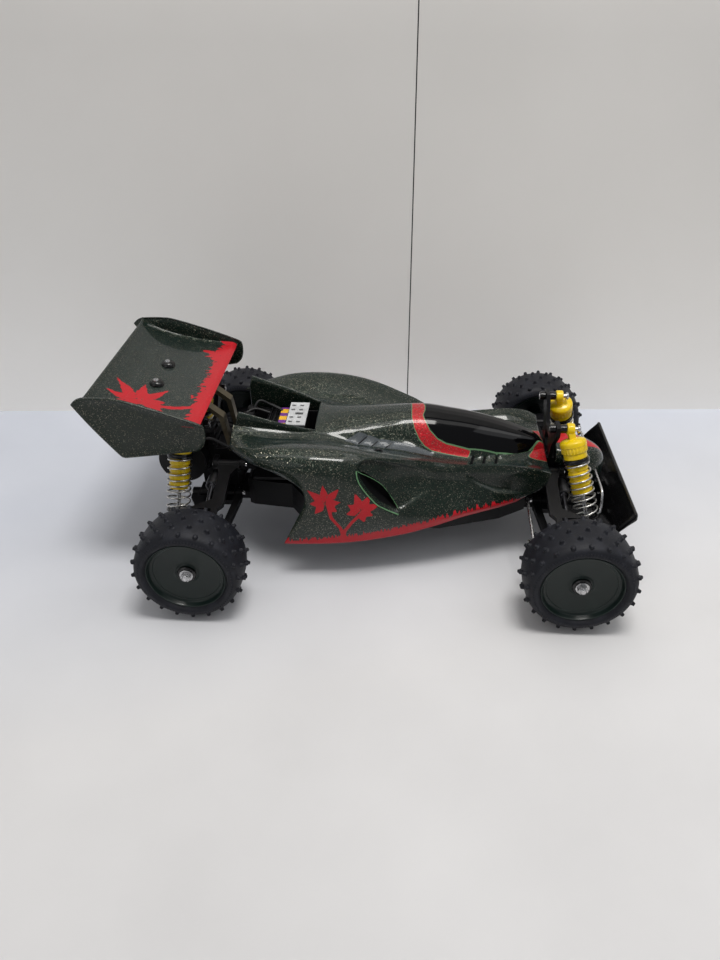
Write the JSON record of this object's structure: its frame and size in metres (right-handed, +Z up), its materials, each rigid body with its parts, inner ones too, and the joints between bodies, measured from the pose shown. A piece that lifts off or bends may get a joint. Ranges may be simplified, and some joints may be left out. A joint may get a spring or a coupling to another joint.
{
  "type": "radio-controlled off-road buggy",
  "caption": "Four-wheel-drive radio-controlled off-road buggy with spiked tyres, coil-over shock absorbers, a moulded body shell, a front bumper and a rear wing.",
  "frame": {"origin": "on the ground, midway between the axles and on the car's centre plane, with the suspension at full droop", "axes": "+X towards the car's front, +Y towards its left, +Z up"},
  "size_m": [0.3751, 0.242, 0.141],
  "materials": {
    "black_nylon": "moulded black nylon, satin",
    "body_paint": "dark green metallic flake paint on a clear polycarbonate shell",
    "wing_paint": "dark green metallic paint, with a red front edge",
    "stay_metal": "brushed strip",
    "battery_wrap": "shrink wrap",
    "motor_can": "blackened steel can",
    "rim_plastic": "satin dark green nylon dish",
    "tyre": "blue-black rubber with round spikes",
    "steel": "bright steel",
    "yellow_plastic": "moulded yellow plastic",
    "gear_metal": "hardened steel",
    "brass_gear": "machined brass"
  },
  "bodies": {
    "chassis": {"chassis_tub": "black_nylon", "battery_pack": "battery_wrap", "gearbox_front": "black_nylon", "gearbox_rear": "black_nylon", "tower_front": "black_nylon", "tower_rear": "black_nylon", "front_bumper": "black_nylon", "body_shell": "body_paint", "rear_wing": "wing_paint", "wing_stays": "stay_metal", "motor": "motor_can", "radio_gear": "black_nylon", "pins_and_screws": "steel"},
    "lower_arm_front_left": {"lower_arm_front_left": "black_nylon"},
    "upper_arm_front_left": {"upper_arm_front_left": "black_nylon"},
    "hub_carrier_front_left": {"hub_carrier_front_left": "black_nylon"},
    "knuckle_left": {"knuckle_left": "black_nylon"},
    "wheel_front_left": {"wheel_front_left": "rim_plastic", "tyre_front_left": "tyre"},
    "shock_front_left": {"shock_front_left": "yellow_plastic", "spring_front_left": "steel"},
    "shock_rod_front_left": {"shock_rod_front_left": "steel"},
    "drive_shaft_front_left": {"drive_shaft_front_left": "steel"},
    "lower_arm_front_right": {"lower_arm_front_right": "black_nylon"},
    "upper_arm_front_right": {"upper_arm_front_right": "black_nylon"},
    "hub_carrier_front_right": {"hub_carrier_front_right": "black_nylon"},
    "knuckle_right": {"knuckle_right": "black_nylon"},
    "wheel_front_right": {"wheel_front_right": "rim_plastic", "tyre_front_right": "tyre"},
    "shock_front_right": {"shock_front_right": "yellow_plastic", "spring_front_right": "steel"},
    "shock_rod_front_right": {"shock_rod_front_right": "steel"},
    "drive_shaft_front_right": {"drive_shaft_front_right": "steel"},
    "lower_arm_rear_left": {"lower_arm_rear_left": "black_nylon"},
    "upper_arm_rear_left": {"upper_arm_rear_left": "black_nylon"},
    "hub_carrier_rear_left": {"hub_carrier_rear_left": "black_nylon"},
    "wheel_rear_left": {"wheel_rear_left": "rim_plastic", "tyre_rear_left": "tyre"},
    "shock_rear_left": {"shock_rear_left": "yellow_plastic", "spring_rear_left": "steel"},
    "shock_rod_rear_left": {"shock_rod_rear_left": "steel"},
    "drive_shaft_rear_left": {"drive_shaft_rear_left": "steel"},
    "lower_arm_rear_right": {"lower_arm_rear_right": "black_nylon"},
    "upper_arm_rear_right": {"upper_arm_rear_right": "black_nylon"},
    "hub_carrier_rear_right": {"hub_carrier_rear_right": "black_nylon"},
    "wheel_rear_right": {"wheel_rear_right": "rim_plastic", "tyre_rear_right": "tyre"},
    "shock_rear_right": {"shock_rear_right": "yellow_plastic", "spring_rear_right": "steel"},
    "shock_rod_rear_right": {"shock_rod_rear_right": "steel"},
    "drive_shaft_rear_right": {"drive_shaft_rear_right": "steel"},
    "differential_front": {"differential_front": "gear_metal"},
    "differential_rear": {"differential_rear": "gear_metal"},
    "prop_shaft": {"prop_shaft": "steel"},
    "motor_pinion": {"motor_pinion": "brass_gear"},
    "steering_arm": {"steering_arm": "black_nylon"},
    "rod_end_left": {"rod_end_left": "black_nylon"},
    "tie_rod_left": {"tie_rod_left": "steel"},
    "rod_end_right": {"rod_end_right": "black_nylon"},
    "tie_rod_right": {"tie_rod_right": "steel"}
  },
  "joints": [
    {"name": "bump_front_left", "type": "hinge", "parent": "chassis", "child": "lower_arm_front_left", "pos_m": [0.1275, 0.02, 0.036], "axis": [1, 0, 0], "range_deg": [0, 16], "stiffness_Nm_per_rad": 1.6, "springref_deg": -17.19},
    {"name": "upper_swing_front_left", "type": "hinge", "parent": "chassis", "child": "upper_arm_front_left", "pos_m": [0.1275, 0.02, 0.062], "axis": [1, 0, 0], "range_deg": [0, 16]},
    {"name": "carrier_turn_front_left", "type": "hinge", "parent": "lower_arm_front_left", "child": "hub_carrier_front_left", "pos_m": [0.1275, 0.072, 0.024], "axis": [1, 0, 0], "range_deg": [-16, 0]},
    {"name": "steer_left", "type": "hinge", "parent": "hub_carrier_front_left", "child": "knuckle_left", "pos_m": [0.1275, 0.08, 0.0385], "axis": [0, 0, 1], "range_deg": [-16, 16]},
    {"name": "wheel_spin_front_left", "type": "hinge", "parent": "knuckle_left", "child": "wheel_front_left", "pos_m": [0.1275, 0.1035, 0.0385], "axis": [0, 1, 0], "continuous": true},
    {"name": "shock_swing_front_left", "type": "hinge", "parent": "chassis", "child": "shock_front_left", "pos_m": [0.1267, 0.024, 0.1005], "axis": [1, 0, 0], "range_deg": [0, 3.2]},
    {"name": "shock_slide_front_left", "type": "slide", "parent": "shock_front_left", "child": "shock_rod_front_left", "axis": [-0.2515, -0.3479, 0.9032], "range_m": [0, 0.0095], "deforming": ["spring_front_left"]},
    {"name": "shaft_swing_front_left", "type": "hinge", "parent": "chassis", "child": "drive_shaft_front_left", "pos_m": [0.1275, 0.033, 0.052], "axis": [1, 0, 0], "range_deg": [0, 18]},
    {"name": "bump_front_right", "type": "hinge", "parent": "chassis", "child": "lower_arm_front_right", "pos_m": [0.1275, -0.02, 0.036], "axis": [-1, 0, 0], "range_deg": [0, 16], "stiffness_Nm_per_rad": 1.6, "springref_deg": -17.19},
    {"name": "upper_swing_front_right", "type": "hinge", "parent": "chassis", "child": "upper_arm_front_right", "pos_m": [0.1275, -0.02, 0.062], "axis": [-1, 0, 0], "range_deg": [0, 16]},
    {"name": "carrier_turn_front_right", "type": "hinge", "parent": "lower_arm_front_right", "child": "hub_carrier_front_right", "pos_m": [0.1275, -0.072, 0.024], "axis": [-1, 0, 0], "range_deg": [-16, 0]},
    {"name": "steer_right", "type": "hinge", "parent": "hub_carrier_front_right", "child": "knuckle_right", "pos_m": [0.1275, -0.08, 0.0385], "axis": [0, 0, 1], "range_deg": [-16, 16]},
    {"name": "wheel_spin_front_right", "type": "hinge", "parent": "knuckle_right", "child": "wheel_front_right", "pos_m": [0.1275, -0.1035, 0.0385], "axis": [0, 1, 0], "continuous": true},
    {"name": "shock_swing_front_right", "type": "hinge", "parent": "chassis", "child": "shock_front_right", "pos_m": [0.1267, -0.024, 0.1005], "axis": [-1, 0, 0], "range_deg": [0, 3.2]},
    {"name": "shock_slide_front_right", "type": "slide", "parent": "shock_front_right", "child": "shock_rod_front_right", "axis": [-0.2515, 0.3479, 0.9032], "range_m": [0, 0.0095], "deforming": ["spring_front_right"]},
    {"name": "shaft_swing_front_right", "type": "hinge", "parent": "chassis", "child": "drive_shaft_front_right", "pos_m": [0.1275, -0.033, 0.052], "axis": [-1, 0, 0], "range_deg": [0, 18]},
    {"name": "bump_rear_left", "type": "hinge", "parent": "chassis", "child": "lower_arm_rear_left", "pos_m": [-0.1275, 0.02, 0.036], "axis": [1, 0, 0], "range_deg": [0, 16], "stiffness_Nm_per_rad": 1.6, "springref_deg": -17.19},
    {"name": "upper_swing_rear_left", "type": "hinge", "parent": "chassis", "child": "upper_arm_rear_left", "pos_m": [-0.1275, 0.02, 0.062], "axis": [1, 0, 0], "range_deg": [0, 16]},
    {"name": "carrier_turn_rear_left", "type": "hinge", "parent": "lower_arm_rear_left", "child": "hub_carrier_rear_left", "pos_m": [-0.1275, 0.072, 0.024], "axis": [1, 0, 0], "range_deg": [-16, 0]},
    {"name": "wheel_spin_rear_left", "type": "hinge", "parent": "hub_carrier_rear_left", "child": "wheel_rear_left", "pos_m": [-0.1275, 0.1035, 0.0385], "axis": [0, 1, 0], "continuous": true},
    {"name": "shock_swing_rear_left", "type": "hinge", "parent": "chassis", "child": "shock_rear_left", "pos_m": [-0.145, 0.027, 0.1], "axis": [1, 0, 0], "range_deg": [0, 3.2]},
    {"name": "shock_slide_rear_left", "type": "slide", "parent": "shock_rear_left", "child": "shock_rod_rear_left", "axis": [0.0759, -0.3727, 0.9248], "range_m": [0, 0.0095], "deforming": ["spring_rear_left"]},
    {"name": "shaft_swing_rear_left", "type": "hinge", "parent": "chassis", "child": "drive_shaft_rear_left", "pos_m": [-0.1275, 0.033, 0.052], "axis": [1, 0, 0], "range_deg": [0, 18]},
    {"name": "bump_rear_right", "type": "hinge", "parent": "chassis", "child": "lower_arm_rear_right", "pos_m": [-0.1275, -0.02, 0.036], "axis": [-1, 0, 0], "range_deg": [0, 16], "stiffness_Nm_per_rad": 1.6, "springref_deg": -17.19},
    {"name": "upper_swing_rear_right", "type": "hinge", "parent": "chassis", "child": "upper_arm_rear_right", "pos_m": [-0.1275, -0.02, 0.062], "axis": [-1, 0, 0], "range_deg": [0, 16]},
    {"name": "carrier_turn_rear_right", "type": "hinge", "parent": "lower_arm_rear_right", "child": "hub_carrier_rear_right", "pos_m": [-0.1275, -0.072, 0.024], "axis": [-1, 0, 0], "range_deg": [-16, 0]},
    {"name": "wheel_spin_rear_right", "type": "hinge", "parent": "hub_carrier_rear_right", "child": "wheel_rear_right", "pos_m": [-0.1275, -0.1035, 0.0385], "axis": [0, 1, 0], "continuous": true},
    {"name": "shock_swing_rear_right", "type": "hinge", "parent": "chassis", "child": "shock_rear_right", "pos_m": [-0.145, -0.027, 0.1], "axis": [-1, 0, 0], "range_deg": [0, 3.2]},
    {"name": "shock_slide_rear_right", "type": "slide", "parent": "shock_rear_right", "child": "shock_rod_rear_right", "axis": [0.0759, 0.3727, 0.9248], "range_m": [0, 0.0095], "deforming": ["spring_rear_right"]},
    {"name": "shaft_swing_rear_right", "type": "hinge", "parent": "chassis", "child": "drive_shaft_rear_right", "pos_m": [-0.1275, -0.033, 0.052], "axis": [-1, 0, 0], "range_deg": [0, 18]},
    {"name": "differential_spin_front", "type": "hinge", "parent": "chassis", "child": "differential_front", "pos_m": [0.1275, 0, 0.052], "axis": [0, 1, 0], "continuous": true},
    {"name": "differential_spin_rear", "type": "hinge", "parent": "chassis", "child": "differential_rear", "pos_m": [-0.1275, 0, 0.052], "axis": [0, 1, 0], "continuous": true},
    {"name": "prop_shaft_spin", "type": "hinge", "parent": "chassis", "child": "prop_shaft", "pos_m": [0, 0, 0.052], "axis": [1, 0, 0], "continuous": true},
    {"name": "motor_pinion_spin", "type": "hinge", "parent": "chassis", "child": "motor_pinion", "pos_m": [-0.1503, 0.0188, 0.0652], "axis": [0, 1, 0], "continuous": true},
    {"name": "steering_arm_turn", "type": "hinge", "parent": "chassis", "child": "steering_arm", "pos_m": [0.078, 0, 0.046], "axis": [0, 0, 1], "range_deg": [-18, 18]},
    {"name": "rod_end_turn_left", "type": "hinge", "parent": "steering_arm", "child": "rod_end_left", "pos_m": [0.102, 0.016, 0.0505], "axis": [0, 0, 1], "range_deg": [-20, 20]},
    {"name": "tie_rod_lift_left", "type": "hinge", "parent": "rod_end_left", "child": "tie_rod_left", "pos_m": [0.102, 0.021, 0.0505], "axis": [1, 0, 0], "range_deg": [0, 17]},
    {"name": "rod_end_turn_right", "type": "hinge", "parent": "steering_arm", "child": "rod_end_right", "pos_m": [0.102, -0.016, 0.0505], "axis": [0, 0, 1], "range_deg": [-20, 20]},
    {"name": "tie_rod_lift_right", "type": "hinge", "parent": "rod_end_right", "child": "tie_rod_right", "pos_m": [0.102, -0.021, 0.0505], "axis": [-1, 0, 0], "range_deg": [0, 17]}
  ],
  "couplings": [
    {"joint": "upper_swing_front_left", "follows": "bump_front_left", "ratio": 1},
    {"joint": "carrier_turn_front_left", "follows": "bump_front_left", "ratio": -1},
    {"joint": "shock_swing_front_left", "follows": "bump_front_left", "ratio": 0.1595},
    {"joint": "shock_slide_front_left", "follows": "bump_front_left", "m_per_rad": 0.02891},
    {"joint": "shaft_swing_front_left", "follows": "bump_front_left", "ratio": 1.0962},
    {"joint": "upper_swing_front_right", "follows": "bump_front_right", "ratio": 1},
    {"joint": "carrier_turn_front_right", "follows": "bump_front_right", "ratio": -1},
    {"joint": "shock_swing_front_right", "follows": "bump_front_right", "ratio": 0.1595},
    {"joint": "shock_slide_front_right", "follows": "bump_front_right", "m_per_rad": 0.02891},
    {"joint": "shaft_swing_front_right", "follows": "bump_front_right", "ratio": 1.0962},
    {"joint": "upper_swing_rear_left", "follows": "bump_rear_left", "ratio": 1},
    {"joint": "carrier_turn_rear_left", "follows": "bump_rear_left", "ratio": -1},
    {"joint": "shock_swing_rear_left", "follows": "bump_rear_left", "ratio": 0.1848},
    {"joint": "shock_slide_rear_left", "follows": "bump_rear_left", "m_per_rad": 0.03168},
    {"joint": "shaft_swing_rear_left", "follows": "bump_rear_left", "ratio": 1.0962},
    {"joint": "upper_swing_rear_right", "follows": "bump_rear_right", "ratio": 1},
    {"joint": "carrier_turn_rear_right", "follows": "bump_rear_right", "ratio": -1},
    {"joint": "shock_swing_rear_right", "follows": "bump_rear_right", "ratio": 0.1848},
    {"joint": "shock_slide_rear_right", "follows": "bump_rear_right", "m_per_rad": 0.03168},
    {"joint": "shaft_swing_rear_right", "follows": "bump_rear_right", "ratio": 1.0962},
    {"joint": "steer_right", "follows": "steer_left", "ratio": 1},
    {"joint": "wheel_spin_front_left", "follows": "wheel_spin_rear_left", "ratio": 1},
    {"joint": "wheel_spin_front_right", "follows": "wheel_spin_rear_left", "ratio": 1},
    {"joint": "wheel_spin_rear_right", "follows": "wheel_spin_rear_left", "ratio": 1},
    {"joint": "differential_spin_front", "follows": "wheel_spin_rear_left", "ratio": 1},
    {"joint": "differential_spin_rear", "follows": "wheel_spin_rear_left", "ratio": 1},
    {"joint": "prop_shaft_spin", "follows": "wheel_spin_rear_left", "ratio": 2.6667},
    {"joint": "motor_pinion_spin", "follows": "wheel_spin_rear_left", "ratio": -3.3333},
    {"joint": "steering_arm_turn", "follows": "steer_left", "ratio": -0.9661},
    {"joint": "rod_end_turn_left", "follows": "steer_left", "ratio": 1.1506},
    {"joint": "tie_rod_lift_left", "follows": "bump_front_left", "ratio": 0.9485},
    {"joint": "rod_end_turn_right", "follows": "steer_left", "ratio": 1.1506},
    {"joint": "tie_rod_lift_right", "follows": "bump_front_right", "ratio": 0.9485}
  ]
}
